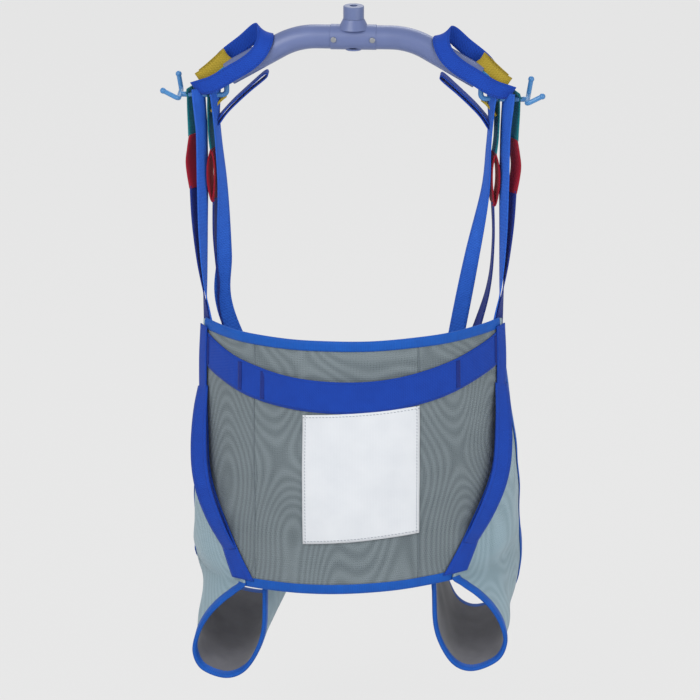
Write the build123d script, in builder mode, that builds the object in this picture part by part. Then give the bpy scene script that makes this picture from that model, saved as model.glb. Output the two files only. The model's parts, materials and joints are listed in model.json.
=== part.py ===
# A patient lift sling hanging from its two-point spreader bar.
# Millimetres. +Z is up, +X is the viewer's right from behind the sling, and the
# sling's open front faces +Y. The origin is the centre of the swivel's top face.
# Paired pieces are drawn on the +X side and mirrored.

import os
from math import atan2, cos, hypot, radians, sin, sqrt

from build123d import *

os.makedirs("parts", exist_ok=True)

# clearances
RUN_GAP = 0.05  # turning fits on the swivel spindle
SEAM = 0.4  # open seam between the swivel and the hub
SEWN = 0.1  # between layers that are sewn together
HOOK_GAP = 0.4  # between a hook rod and the webbing that turns on it
CUT = 300.0  # cutters reach past everything
OVER = 60.0  # how far an outline runs past an edge that it cuts

# swivel and hub
STEM_R = 15.5
STEM_H = 19.0
STEM_ROUND = 1.6
THREAD_R = 6.0
THREAD_DEPTH = 16.0
SPINDLE_R = 7.0
SPINDLE_STAND = 1.0  # thread left below the nut
BAR_Z = -48.0  # height of the middle of the bar's axis
HUB_R = 19.0
HUB_HALF = 34.5
HUB_ROUND = 1.2
NECK_R = 23.0
NECK_DROP = 15.0
POCKET_R = 12.5
POCKET_TOP = BAR_Z - 8.0
WASHER_R = 11.5
WASHER_T = 2.0
NUT_FLATS = 19.0
NUT_T = 5.0
CAP_T = 2.6
CAP_SEAT = 2.4  # how far the cap sits up into the hub
CAP_ROUND = 0.8
HUB_SOCKET_R = 14.0
HUB_SOCKET_DEPTH = 11.0
SCREW_R = 2.5
SCREW_HEAD_R = 4.2
SCREW_HEAD_T = 2.4
SCREW_REACH = 9.0
SCREW_ROUND = 1.0

# arms
ARM_R = 18.0
ARM_WALL = 3.0
ARM_FLAT_END = 55.0  # where the arm starts to bend
ARM_BEND_R = 110.0
ARM_SLOPE = 30.0
ARM_STRAIGHT = 88.0
ARM_PLUG = 12.0  # solid part of the arm beside the hub

# hook ends
FITTING_R = ARM_R - ARM_WALL
FITTING_OUT = 16.0
FITTING_IN = 14.0
FITTING_ROUND = 4.0
HOOK_Z = -140.0
ROD_R = 4.0
ROD_DROP_X = 190.0
ROD_BEND_R = 7.0
ROD_IN = 24.0  # how far the rod runs up into its end fitting
CROSS_X = 260.0
CROSS_HALF = 28.0
PRONG_R = 3.6
PRONG_BEND_R = 6.0
TIP_R = 4.6
NEAR_PRONG = (283.0, 12.0)  # where it ends in X, and its rise
FAR_PRONG = (264.0, 24.0)

# webbing
WEB_W = 25.0
WEB_T = 1.6
LEG_FOOT_W = 30.0
LOOP_TOP = 12.0  # top of the hooked loop above the rod's axis
LOOP_DROP = 52.0  # sewn foot of the hooked loop below the rod's axis
LOOP_LONG = 56.0  # spacing of the sewn bars below that
FOOT = 7.0  # length of each sewn bar
CROWN = 1.08  # how much the hooked loop stands off the rod at its crown
CROWN_TURN = 55.0
RED_BOW = 9.0  # how far the red loop bows out behind
RED_FLAT = 12.0  # straight length in the middle of that bow
SHOULDER_X = 242.0
LEG_X = 214.0
TAIL_RISE = 41.0
TAIL_START = (236.0, HOOK_Z + 26.9)
TAIL_LONG = 152.0
YELLOW_W = 23.6
LEG_TAIL_START = (LEG_X - WEB_W / 2 - 0.4, HOOK_Z - 16.5)
LEG_TAIL_Y = 12.0
LEG_TAIL_LONG = 92.0
LEG_TAIL_FOLD = 3.4  # half the thickness of its folded end
LEG_TAIL_OPEN = 4.0  # how far its back strand stops short of the strap

# sling shell
SHELL_R = 250.0  # outside of the mesh in plan
SHELL_Y = 82.0  # centre of that arc
MESH_T = 3.0
TOP_Z = -475.0
BOTTOM_Z = -864.0
CORNER_X = 218.0  # top corner, where the shoulder strap is sewn on
CORNER_Y = -40.0
EDGE_X = 238.0  # where the top binding ends
LOW_X = 133.0  # bottom corner of the back panel
TAPER_Z = -720.0  # where the side seams start to run inward
SEAM_TOP_X = 222.0
SEAM_LOW_X = 156.0
FRONT_EDGE = [
    (4.0, TOP_Z),
    (10.0, -560.0),
    (34.0, -650.0),
    (84.0, -760.0),
    (110.0, BOTTOM_Z),
]

# leg sections
LEG_R = 57.0
LEG_X0 = 188.0
LEG_Y0 = -105.0
LEG_Z0 = -947.0
LEG_LEN = 216.0
LEG_TILT = 9.5
FLAP_H = 168.0
FLAP_LEAN = 22.0
FLAP_TIP_Y = 45.0
LINING_T = 1.0
RIM_H = 66.0  # how far the leg bindings run up the inner side
FLAP_TIP_HALF = 25.0
FLAP_REAR_RISE = (76.0, 84.0)  # height of the flap's edge above the axis, rear part
FLAP_FRONT_RISE = 92.0
FLAP_IN_X = 60.0  # inside everything on the flap's side
SKIRT_IN_X = 180.0  # the skirt stops outside this at the front

# bindings, straps and label
BIND_W = 12.0
BIND_T = 1.3
BACK_STRAP_W = 50.0
BACK_STRAP_END_Z = -517.0
BACK_STRAP_MID_Z = -561.0
STRAP_T = 1.8
SIDE_STRAP_HALF = 9.0
SIDE_STRAP_LOW_HALF = 17.0
HANDLE_W = 30.0
HANDLE_TOP_Z = -612.0
HANDLE_LOW_Z = -792.0
HANDLE_OUT = 24.0
HANDLE_LIFT = 2.6  # clears the strap's curve under the handle's flat ends
LABEL_W = 172.0
LABEL_X = 16.0
LABEL_TOP_Z = -590.0
LABEL_LOW_Z = -782.0
LABEL_T = 0.6


def save(part, label):
    part.label = label
    export_step(part, f"parts/{label}.step")


def save_pair(part, name):
    save(part, f"right_{name}")
    save(mirror(part, about=Plane.YZ), f"left_{name}")


def shell_y(x, r=SHELL_R):
    """Y of the shell's outside at x."""
    return SHELL_Y - sqrt(r * r - x * x)


def ring(inner, outer, low, high):
    """An upright ring about the shell's axis."""
    with BuildPart() as made:
        with BuildSketch(Plane.XY.offset(low)):
            with Locations((0, SHELL_Y)):
                Circle(outer)
                Circle(inner, mode=Mode.SUBTRACT)
        extrude(amount=high - low)
    return made.part


def seam_x(z):
    """X of the seam between the back panel and a side panel at height z."""
    if z > TAPER_Z:
        return SEAM_TOP_X
    share = (TAPER_Z - z) / (TAPER_Z - BOTTOM_Z)
    return SEAM_TOP_X + share * (SEAM_LOW_X - SEAM_TOP_X)


# ---- swivel: what the hoist holds
with BuildPart() as stem:
    with BuildSketch(Plane.XY):
        Circle(STEM_R)
    extrude(amount=-STEM_H)
    fillet(stem.edges().group_by(Axis.Z)[-1], STEM_ROUND)
    with BuildSketch(Plane.XY.offset(-STEM_H)):
        Circle(SPINDLE_R)
    extrude(amount=POCKET_TOP - WASHER_T - NUT_T - RUN_GAP - SPINDLE_STAND + STEM_H)
    with BuildSketch(Plane.XY):
        Circle(THREAD_R)
    extrude(amount=-THREAD_DEPTH, mode=Mode.SUBTRACT)
save(stem.part, "swivel_stem")

washer_top = POCKET_TOP - RUN_GAP
with BuildPart() as washer:
    with BuildSketch(Plane.XY.offset(washer_top)):
        Circle(WASHER_R)
        Circle(SPINDLE_R, mode=Mode.SUBTRACT)
    extrude(amount=-WASHER_T)
save(washer.part, "thrust_washer")

with BuildPart() as nut:
    with BuildSketch(Plane.XY.offset(washer_top - WASHER_T)):
        RegularPolygon(NUT_FLATS / 2, 6, major_radius=False)
        Circle(SPINDLE_R, mode=Mode.SUBTRACT)
    extrude(amount=-NUT_T)
save(nut.part, "spindle_nut")

# ---- hub
neck_top = -STEM_H - SEAM
with BuildPart() as hub:
    with BuildSketch(Plane.YZ.offset(-HUB_HALF)):
        with Locations((0, BAR_Z)):
            Circle(HUB_R)
    extrude(amount=2 * HUB_HALF)
    fillet(hub.edges().filter_by(GeomType.CIRCLE), HUB_ROUND)
    with BuildSketch(Plane.XY.offset(neck_top)):
        Circle(STEM_R)
    with BuildSketch(Plane.XY.offset(neck_top - NECK_DROP)):
        Circle(NECK_R)
    loft()
    with BuildSketch(Plane.XY.offset(neck_top + 1)):
        Circle(SPINDLE_R + RUN_GAP)
    extrude(amount=-CUT, mode=Mode.SUBTRACT)
    with BuildSketch(Plane.XY.offset(POCKET_TOP)):
        Circle(POCKET_R)
    extrude(amount=-CUT, mode=Mode.SUBTRACT)
    for end in (-1, 1):
        with BuildSketch(Plane.YZ.offset(end * HUB_HALF)):
            with Locations((0, BAR_Z)):
                Circle(HUB_SOCKET_R)
        extrude(amount=-end * HUB_SOCKET_DEPTH, mode=Mode.SUBTRACT)
        with BuildSketch(Plane.XZ.offset(HUB_R)):
            with Locations((end * (HUB_HALF - HUB_SOCKET_DEPTH / 2), BAR_Z)):
                Circle(SCREW_R)
        extrude(amount=-SCREW_REACH, mode=Mode.SUBTRACT)
save(hub.part, "hub_casting")

with BuildPart() as cap:
    with BuildSketch(Plane.XY.offset(BAR_Z - HUB_R + CAP_SEAT)):
        Circle(POCKET_R)
    extrude(amount=-CAP_T)
    fillet(cap.edges().group_by(Axis.Z)[0], CAP_ROUND)
save(cap.part, "hub_bottom_cap")

# ---- arms
arm_end = (
    ARM_FLAT_END + ARM_BEND_R * sin(radians(ARM_SLOPE)) + ARM_STRAIGHT * cos(radians(ARM_SLOPE)),
    BAR_Z - ARM_BEND_R * (1 - cos(radians(ARM_SLOPE))) - ARM_STRAIGHT * sin(radians(ARM_SLOPE)),
)
slope_dir = (cos(radians(ARM_SLOPE)), -sin(radians(ARM_SLOPE)))
with BuildPart() as arm:
    with BuildLine(Plane.XZ) as arm_line:
        flat = Line((HUB_HALF, BAR_Z), (ARM_FLAT_END, BAR_Z))
        bend = JernArc(flat @ 1, (1, 0), ARM_BEND_R, -ARM_SLOPE)
        Line(bend @ 1, arm_end)
    with BuildSketch(Plane(origin=(HUB_HALF, 0, BAR_Z), z_dir=(1, 0, 0))):
        Circle(ARM_R)
        Circle(ARM_R - ARM_WALL, mode=Mode.SUBTRACT)
    sweep(path=arm_line.line)
    with BuildSketch(Plane.YZ.offset(HUB_HALF)):
        with Locations((0, BAR_Z)):
            Circle(ARM_R - ARM_WALL)
    extrude(amount=ARM_PLUG)
    with BuildSketch(Plane.YZ.offset(HUB_HALF)):
        with Locations((0, BAR_Z)):
            Circle(HUB_SOCKET_R)
    extrude(amount=-HUB_SOCKET_DEPTH)
    screw_x = HUB_HALF - HUB_SOCKET_DEPTH / 2
    with BuildSketch(Plane.XZ.offset(HUB_R)):
        with Locations((screw_x, BAR_Z)):
            Circle(SCREW_R)
    extrude(amount=-SCREW_REACH, mode=Mode.SUBTRACT)
save_pair(arm.part, "arm")

with BuildPart() as screw:
    with BuildSketch(Plane.XZ.offset(HUB_R + SCREW_HEAD_T)):
        with Locations((screw_x, BAR_Z)):
            Circle(SCREW_HEAD_R)
    extrude(amount=-SCREW_HEAD_T)
    fillet(screw.edges().group_by(Axis.Y)[0], SCREW_ROUND)
    with BuildSketch(Plane.XZ.offset(HUB_R)):
        with Locations((screw_x, BAR_Z)):
            Circle(SCREW_R)
    extrude(amount=-SCREW_REACH)
save_pair(screw.part, "arm_screw")

# ---- hook rods and the end fittings that hold them
with BuildPart() as rod:
    with BuildLine(Plane.XZ) as rod_line:
        drop = Line((ROD_DROP_X, HOOK_Z + ROD_IN), (ROD_DROP_X, HOOK_Z + ROD_BEND_R))
        turn = JernArc(drop @ 1, (0, -1), ROD_BEND_R, 90)
        Line(turn @ 1, (CROSS_X, HOOK_Z))
    with BuildSketch(Plane.XY.offset(HOOK_Z + ROD_IN)):
        with Locations((ROD_DROP_X, 0)):
            Circle(ROD_R)
    sweep(path=rod_line.line)

with BuildPart() as hook:
    add(rod.part)
    near_tip = (NEAR_PRONG[0], -CROSS_HALF, HOOK_Z + NEAR_PRONG[1])
    far_tip = (FAR_PRONG[0], CROSS_HALF, HOOK_Z + FAR_PRONG[1])
    with BuildLine() as prongs:
        FilletPolyline(
            near_tip,
            (CROSS_X, -CROSS_HALF, HOOK_Z),
            (CROSS_X, CROSS_HALF, HOOK_Z),
            far_tip,
            radius=PRONG_BEND_R,
        )
    back_dir = (CROSS_X - near_tip[0], 0, HOOK_Z - near_tip[2])
    with BuildSketch(Plane(origin=near_tip, z_dir=back_dir)):
        Circle(PRONG_R)
    sweep(path=prongs.line)
    for tip in (near_tip, far_tip):
        with Locations(tip):
            Sphere(TIP_R)
save_pair(hook.part, "hook")

with BuildPart() as fitting:
    start = (arm_end[0] - FITTING_IN * slope_dir[0], 0, arm_end[1] - FITTING_IN * slope_dir[1])
    with BuildSketch(Plane(origin=start, z_dir=(slope_dir[0], 0, slope_dir[1]))):
        Circle(FITTING_R)
    extrude(amount=FITTING_IN + FITTING_OUT)
    fillet(fitting.edges().filter_by(GeomType.CIRCLE).sort_by(Axis.X)[-1], FITTING_ROUND)
    add(rod.part, mode=Mode.SUBTRACT)
save_pair(fitting.part, "hook_end")


# ---- strap ends: a main webbing with a chain of coloured loops behind it
def lean_planes(x, foot_y, foot_z):
    """Front and profile planes through the hook rod, tipped to pass the strap's foot."""
    a = atan2(foot_y, HOOK_Z - foot_z)
    front = Plane(origin=(0, 0, HOOK_Z), x_dir=(1, 0, 0), z_dir=(0, -cos(a), -sin(a)))
    profile = Plane(origin=(x, 0, HOOK_Z), x_dir=(0, cos(a), sin(a)), z_dir=(1, 0, 0))
    return front, profile


def bow(profile, points, width):
    """A strip of webbing along points (offset behind the main strand, height)."""
    with BuildPart() as made:
        with BuildSketch(profile):
            with BuildLine():
                Polyline(points)
            trace(line_width=WEB_T)
        extrude(amount=width / 2, both=True)
    return made.part


main_back = -(ROD_R + HOOK_GAP)  # back face of the main strand
main_mid = main_back - WEB_T / 2
near_mid = main_back + SEWN + WEB_T / 2  # a strip sewn to that face
loop_r = ROD_R + HOOK_GAP + WEB_T / 2
crown = CROWN * loop_r
red_top = -LOOP_DROP - 1.0
red_low = red_top - LOOP_LONG


def strap_end(name, x, foot, foot_w):
    foot_x, foot_y, foot_z = foot
    front, profile = lean_planes(x, foot_y, foot_z)
    foot_h = -hypot(foot_y, HOOK_Z - foot_z)
    lean = (foot_x - x) / (foot_h - red_low)

    low_x = x + lean * (foot_h - red_low)

    with BuildPart() as main:
        with BuildSketch(front.offset(-main_mid - WEB_T / 2)):
            with BuildLine():
                Polyline(
                    (x - WEB_W / 2, LOOP_TOP),
                    (x + WEB_W / 2, LOOP_TOP),
                    (x + WEB_W / 2, red_low),
                    (low_x + foot_w / 2, foot_h),
                    (low_x - foot_w / 2, foot_h),
                    (x - WEB_W / 2, red_low),
                    close=True,
                )
            make_face()
        extrude(amount=WEB_T)
    save_pair(main.part, f"{name}_webbing")

    green = bow(
        profile,
        [
            (near_mid, -LOOP_DROP),
            (near_mid, -LOOP_DROP + FOOT),
            (loop_r, -LOOP_DROP / 2),
            (loop_r, ROD_R / 2),
            (crown * cos(radians(CROWN_TURN)), crown * sin(radians(CROWN_TURN))),
            (near_mid + HOOK_GAP, LOOP_TOP - FOOT / 2),
            (near_mid, LOOP_TOP),
        ],
        WEB_W,
    )
    save_pair(green, f"{name}_green_loop")

    red = bow(
        profile,
        [
            (near_mid, red_low),
            (near_mid, red_low + FOOT),
            (near_mid + RED_BOW, red_low + (LOOP_LONG - RED_FLAT) / 2),
            (near_mid + RED_BOW, red_low + (LOOP_LONG + RED_FLAT) / 2),
            (near_mid, red_top - FOOT),
            (near_mid, red_top),
        ],
        WEB_W,
    )
    save_pair(red, f"{name}_red_loop")

    with BuildPart() as lower:
        with BuildSketch(front.offset(-near_mid - WEB_T / 2)):
            with BuildLine():
                Polyline(
                    (x - WEB_W / 2, red_low - 1),
                    (x + WEB_W / 2, red_low - 1),
                    (low_x + foot_w / 2 - 1, foot_h),
                    (low_x - foot_w / 2 + 1, foot_h),
                    close=True,
                )
            make_face()
        extrude(amount=WEB_T)
    save_pair(lower.part, f"{name}_lower_web")


strap_end("shoulder", SHOULDER_X, (CORNER_X, CORNER_Y, TOP_Z + 3.0), WEB_W)
flap_top_z = LEG_Z0 + FLAP_H
strap_end("leg", LEG_X, (LEG_X0 - LEG_R - FLAP_LEAN, FLAP_TIP_Y, flap_top_z + 0.5), LEG_FOOT_W)

# ---- unused ends of the straps, lying on and under the arms
tail_dir = (-cos(radians(TAIL_RISE)), sin(radians(TAIL_RISE)))
tail_plane = Plane(
    origin=(TAIL_START[0], 0, TAIL_START[1]),
    x_dir=(tail_dir[0], 0, tail_dir[1]),
    z_dir=(tail_dir[1], 0, -tail_dir[0]),
)
# in this plane x runs up the tail and y is across it, toward the sling's back or front
tail_near = -1 if tail_plane.y_dir.Y > 0 else 1


def ribbon(plane, points, width=WEB_W, thick=WEB_T):
    """A strip of webbing that follows a smooth line drawn in plane."""
    with BuildPart() as made:
        with BuildSketch(plane):
            with BuildLine():
                Spline(points)
            trace(line_width=thick)
        extrude(amount=width / 2, both=True)
    return made.part


def tail_loop(points, width=WEB_W):
    return ribbon(tail_plane, [(s, tail_near * y) for s, y in points], width)


tail = tail_loop(
    [(0, 5), (20, 5.4), (49, 6.2), (110, 12), (140, 13), (TAIL_LONG, 3), (140, -9), (110, -11), (56, -7)]
)
save_pair(tail, "shoulder_tail_loop")
yellow = tail_loop([(2, 3.1), (14, 3.3), (22, 2.0), (30, -0.2)], YELLOW_W)
save_pair(yellow, "shoulder_yellow_loop")

leg_tail_plane = Plane(
    origin=(LEG_TAIL_START[0], LEG_TAIL_Y, LEG_TAIL_START[1]),
    x_dir=(-slope_dir[0], 0, -slope_dir[1]),
    z_dir=(0, -1, 0),
)

with BuildPart() as leg_tail:
    with BuildSketch(leg_tail_plane):
        with BuildLine():
            fold_at = LEG_TAIL_LONG - LEG_TAIL_FOLD
            Line((0, LEG_TAIL_FOLD / 2), (fold_at, LEG_TAIL_FOLD))
            ThreePointArc((fold_at, LEG_TAIL_FOLD), (LEG_TAIL_LONG, 0), (fold_at, -LEG_TAIL_FOLD))
            Line((fold_at, -LEG_TAIL_FOLD), (LEG_TAIL_OPEN, -LEG_TAIL_FOLD / 2))
        trace(line_width=WEB_T)
    extrude(amount=WEB_W / 2, both=True)
save_pair(leg_tail.part, "leg_tail_loop")
leg_yellow = ribbon(leg_tail_plane, [(1, 3.6), (10, 5.6), (24, 8.6), (34, 6.0)])
save_pair(leg_yellow, "leg_yellow_loop")


# ---- back panel and side panels, cut from one shell along the side seams
mesh_shell = ring(SHELL_R - MESH_T, SHELL_R, BOTTOM_Z, TOP_Z)
seam_points = [
    (SEAM_TOP_X, TOP_Z + OVER),
    (SEAM_TOP_X, TAPER_Z),
    (SEAM_LOW_X, BOTTOM_Z),
]
with BuildPart() as back:
    with BuildSketch(Plane.XZ):
        with BuildLine():
            Polyline(
                *seam_points,
                (-SEAM_LOW_X, BOTTOM_Z),
                (-SEAM_TOP_X, TAPER_Z),
                (-SEAM_TOP_X, TOP_Z + OVER),
                close=True,
            )
        make_face()
    extrude(amount=CUT)
    add(mesh_shell, mode=Mode.INTERSECT)
save(back.part, "back_panel")

leg_c = cos(radians(LEG_TILT))
leg_s = sin(radians(LEG_TILT))
leg_plane = Plane(origin=(LEG_X0, LEG_Y0, LEG_Z0), x_dir=(1, 0, 0), z_dir=(0, -leg_c, -leg_s))
leg_side = Plane(
    origin=(LEG_X0 + LEG_R, LEG_Y0, LEG_Z0), x_dir=(0, leg_c, leg_s), z_dir=(0, -leg_s, leg_c)
)


def leg_trough(plane, outer, inner, height, long):
    """The leg section: under the thigh and up its inner side."""
    lean = FLAP_LEAN * height / FLAP_H
    with BuildPart() as made:
        with BuildSketch(plane):
            with BuildLine():
                ThreePointArc((outer, 0), (0, -outer), (-outer, 0))
                Line((-outer, 0), (-outer - lean, height))
                Line((-outer - lean, height), (-inner - lean, height))
                Line((-inner - lean, height), (-inner, 0))
                ThreePointArc((-inner, 0), (0, -inner), (inner, 0))
                Line((inner, 0), (outer, 0))
            make_face()
        extrude(amount=-long)
    return made.part


with BuildPart() as side_panel:
    with BuildSketch(Plane.YZ.offset(100)):
        with BuildLine():
            Polyline(
                (-200, BOTTOM_Z),
                (-200, TOP_Z),
                *FRONT_EDGE,
                close=True,
            )
        make_face()
    extrude(amount=200)
    add(mesh_shell, mode=Mode.INTERSECT)
    with BuildSketch(Plane.XZ):
        with BuildLine():
            Polyline(*seam_points, (0, BOTTOM_Z), (0, TOP_Z + OVER), close=True)
        make_face()
    extrude(amount=CUT, mode=Mode.SUBTRACT)

with BuildPart() as skirt:
    with BuildSketch(Plane.XY.offset(BOTTOM_Z)) as top_edge:
        with Locations((0, SHELL_Y)):
            Circle(SHELL_R)
            Circle(SHELL_R - MESH_T, mode=Mode.SUBTRACT)
        with BuildLine():
            Polyline(
                (LOW_X, shell_y(LOW_X) - 20),
                (LOW_X, shell_y(LOW_X) + 20),
                (SKIRT_IN_X, FRONT_EDGE[-1][0]),
                (CUT, FRONT_EDGE[-1][0]),
                (CUT, shell_y(LOW_X) - 20),
                close=True,
            )
        make_face(mode=Mode.INTERSECT)
    with BuildSketch(leg_side) as low_edge:
        with BuildLine():
            Polyline((0, 0), (LEG_LEN, 0), (LEG_LEN, MESH_T), (0, MESH_T), close=True)
        make_face()
    loft(ruled=True)

trough = leg_trough(leg_plane, LEG_R, LEG_R - MESH_T, FLAP_H + 40, LEG_LEN)
with BuildPart() as leg:
    add(trough)
    with BuildSketch(Plane.YZ.offset(FLAP_IN_X)):
        with BuildLine():
            Polyline(
                (LEG_Y0 - OVER, LEG_Z0 + FLAP_REAR_RISE[0]),
                (LEG_Y0 + 35, LEG_Z0 + FLAP_REAR_RISE[1]),
                (FLAP_TIP_Y - FLAP_TIP_HALF, flap_top_z),
                (FLAP_TIP_Y + FLAP_TIP_HALF, flap_top_z),
                (LEG_Y0 + LEG_LEN + OVER, LEG_Z0 + FLAP_FRONT_RISE),
                (LEG_Y0 + LEG_LEN + OVER, TOP_Z),
                (LEG_Y0 - OVER, TOP_Z),
                close=True,
            )
        make_face()
    extrude(amount=LEG_X0 - FLAP_IN_X, mode=Mode.SUBTRACT)

with BuildPart() as whole_side:
    add(side_panel.part)
    add(skirt.part)
    add(leg.part)
    add(back.part, mode=Mode.SUBTRACT)
save_pair(whole_side.part, "side_panel")

with BuildPart() as lining:
    with BuildSketch(leg_plane.offset(-BIND_W - 1)):
        Circle(LEG_R - MESH_T - SEWN)
        Circle(LEG_R - MESH_T - SEWN - LINING_T, mode=Mode.SUBTRACT)
        with Locations((0, LEG_R)):
            Rectangle(3 * LEG_R, 2 * LEG_R, mode=Mode.SUBTRACT)
    extrude(amount=-(LEG_LEN - 2 * BIND_W - 2))
save_pair(lining.part, "leg_lining")

# ---- bindings: folded tape over the raw edges
bind_in = SHELL_R - MESH_T - BIND_T
bind_out = SHELL_R + BIND_T
top_tape = ring(bind_in, bind_out, TOP_Z - BIND_W + BIND_T, TOP_Z + BIND_T)
low_tape = ring(bind_in, bind_out, BOTTOM_Z - BIND_T, BOTTOM_Z + BIND_W - BIND_T)
front_tape = ring(bind_in, bind_out, BOTTOM_Z + 1, TOP_Z - BIND_W)
with BuildPart() as top_binding:
    add(top_tape)
    with BuildSketch(Plane.XZ):
        with BuildLine():
            Polyline(
                (-EDGE_X, TOP_Z + 30),
                (EDGE_X, TOP_Z + 30),
                (EDGE_X, TOP_Z - 30),
                (-EDGE_X, TOP_Z - 30),
                close=True,
            )
        make_face()
    extrude(amount=CUT, mode=Mode.INTERSECT)
    add(mesh_shell, mode=Mode.SUBTRACT)
save(top_binding.part, "top_binding")

with BuildPart() as low_binding:
    add(low_tape)
    with BuildSketch(Plane.XZ):
        with Locations((0, BOTTOM_Z)):
            Rectangle(2 * (LOW_X - 1), 60)
    extrude(amount=CUT, mode=Mode.INTERSECT)
    add(mesh_shell, mode=Mode.SUBTRACT)
save(low_binding.part, "bottom_binding")


def rim(start):
    """Folded tape round one end of the leg section, start mm from its near rim."""
    return leg_trough(
        leg_plane.offset(-start), LEG_R + BIND_T, LEG_R - MESH_T - BIND_T, RIM_H, BIND_W
    )


rear_tape = rim(-BIND_T)
with BuildPart() as rear_rim:
    add(rear_tape)
    add(whole_side.part, mode=Mode.SUBTRACT)
save_pair(rear_rim.part, "rear_leg_binding")
far_tape = rim(LEG_LEN + BIND_T - BIND_W)
with BuildPart() as front_rim:
    add(far_tape)
    add(whole_side.part, mode=Mode.SUBTRACT)
save_pair(front_rim.part, "front_leg_binding")

with BuildPart() as front_binding:
    with BuildSketch(Plane.YZ.offset(150)):
        with BuildLine():
            Polyline(
                *[(y + BIND_T, z) for y, z in FRONT_EDGE[:-1]],
                (FRONT_EDGE[-1][0] + BIND_T, BOTTOM_Z + 1),
                (FRONT_EDGE[-1][0] - BIND_W, BOTTOM_Z + 1),
                *[(y - BIND_W, z) for y, z in FRONT_EDGE[-2:0:-1]],
                (FRONT_EDGE[0][0] - BIND_W, TOP_Z - BIND_W - 1),
                (FRONT_EDGE[0][0] + BIND_T + 1, TOP_Z - BIND_W - 1),
                close=True,
            )
        make_face()
    extrude(amount=150)
    add(front_tape, mode=Mode.INTERSECT)
    add(whole_side.part, mode=Mode.SUBTRACT)
save_pair(front_binding.part, "front_binding")

# ---- straps sewn to the outside of the shell
strap_in = SHELL_R + SEWN
strap_shell = ring(strap_in, strap_in + STRAP_T, BOTTOM_Z, TOP_Z)
label_shell = ring(strap_in, strap_in + LABEL_T, BOTTOM_Z, TOP_Z)
with BuildPart() as back_strap:
    with BuildSketch(Plane.XZ):
        end_x = SEAM_TOP_X - SIDE_STRAP_HALF - 2.5
        half = BACK_STRAP_W / 2
        with BuildLine():
            ThreePointArc(
                (-end_x, BACK_STRAP_END_Z + half),
                (0, BACK_STRAP_MID_Z + half),
                (end_x, BACK_STRAP_END_Z + half),
            )
            Line((end_x, BACK_STRAP_END_Z + half), (end_x, BACK_STRAP_END_Z - half))
            ThreePointArc(
                (end_x, BACK_STRAP_END_Z - half),
                (0, BACK_STRAP_MID_Z - half),
                (-end_x, BACK_STRAP_END_Z - half),
            )
            Line((-end_x, BACK_STRAP_END_Z - half), (-end_x, BACK_STRAP_END_Z + half))
        make_face()
    extrude(amount=CUT)
    add(strap_shell, mode=Mode.INTERSECT)
save(back_strap.part, "back_strap")

with BuildPart() as side_strap:
    strap_top = TOP_Z - BIND_W
    strap_low = BOTTOM_Z + BIND_W
    with BuildSketch(Plane.XZ):
        with BuildLine():
            Polyline(
                (SEAM_TOP_X - SIDE_STRAP_HALF, strap_top),
                (SEAM_TOP_X + SIDE_STRAP_HALF, strap_top),
                (SEAM_TOP_X + SIDE_STRAP_HALF, TAPER_Z),
                (SEAM_LOW_X + SIDE_STRAP_LOW_HALF, strap_low),
                (SEAM_LOW_X - SIDE_STRAP_LOW_HALF, strap_low),
                (SEAM_TOP_X - SIDE_STRAP_HALF - 6, TAPER_Z),
                close=True,
            )
        make_face()
    extrude(amount=CUT)
    add(strap_shell, mode=Mode.INTERSECT)
save_pair(side_strap.part, "side_strap")

handle_top = Vector(seam_x(HANDLE_TOP_Z), shell_y(seam_x(HANDLE_TOP_Z)), HANDLE_TOP_Z)
handle_low = Vector(seam_x(HANDLE_LOW_Z), shell_y(seam_x(HANDLE_LOW_Z)), HANDLE_LOW_Z)
handle_line = handle_low - handle_top
radial = Vector((handle_top.X + handle_low.X) / 2, (handle_top.Y + handle_low.Y) / 2 - SHELL_Y, 0)
handle_across = handle_line.cross(radial).normalized()
handle_out = handle_across.cross(handle_line).normalized()
lift = STRAP_T + HANDLE_LIFT
handle_plane = Plane(
    origin=handle_top + handle_out * lift,
    x_dir=handle_line.normalized(),
    z_dir=handle_across,
)
handle_points = [
    (0, 0),
    (handle_line.length * 0.3, HANDLE_OUT * 0.8),
    (handle_line.length * 0.7, HANDLE_OUT),
    (handle_line.length, 0),
]
handle = ribbon(handle_plane, handle_points, HANDLE_W, STRAP_T)
save_pair(handle, "handle")

with BuildPart() as label:
    with BuildSketch(Plane.XZ):
        with Locations((LABEL_X, (LABEL_TOP_Z + LABEL_LOW_Z) / 2)):
            Rectangle(LABEL_W, LABEL_TOP_Z - LABEL_LOW_Z)
    extrude(amount=CUT)
    add(label_shell, mode=Mode.INTERSECT)
save(label.part, "care_label")
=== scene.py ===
import json
import math

import bmesh
import bpy
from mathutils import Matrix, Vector, noise


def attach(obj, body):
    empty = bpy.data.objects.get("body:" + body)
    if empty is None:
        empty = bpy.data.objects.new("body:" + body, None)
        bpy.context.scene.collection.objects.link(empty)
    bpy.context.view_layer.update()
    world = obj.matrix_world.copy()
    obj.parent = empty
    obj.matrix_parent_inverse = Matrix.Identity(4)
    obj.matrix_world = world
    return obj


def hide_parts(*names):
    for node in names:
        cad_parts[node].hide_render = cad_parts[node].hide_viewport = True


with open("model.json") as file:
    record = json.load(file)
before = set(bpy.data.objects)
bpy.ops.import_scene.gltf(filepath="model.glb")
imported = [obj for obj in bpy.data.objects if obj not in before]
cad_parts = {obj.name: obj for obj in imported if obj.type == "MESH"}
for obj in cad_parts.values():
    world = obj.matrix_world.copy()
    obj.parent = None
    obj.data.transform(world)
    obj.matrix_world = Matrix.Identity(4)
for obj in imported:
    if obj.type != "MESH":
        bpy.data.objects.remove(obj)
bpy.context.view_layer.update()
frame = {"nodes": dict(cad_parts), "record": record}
print("frame loaded")

mm = 0.001
noise.seed_set(7)

# small tools


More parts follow.
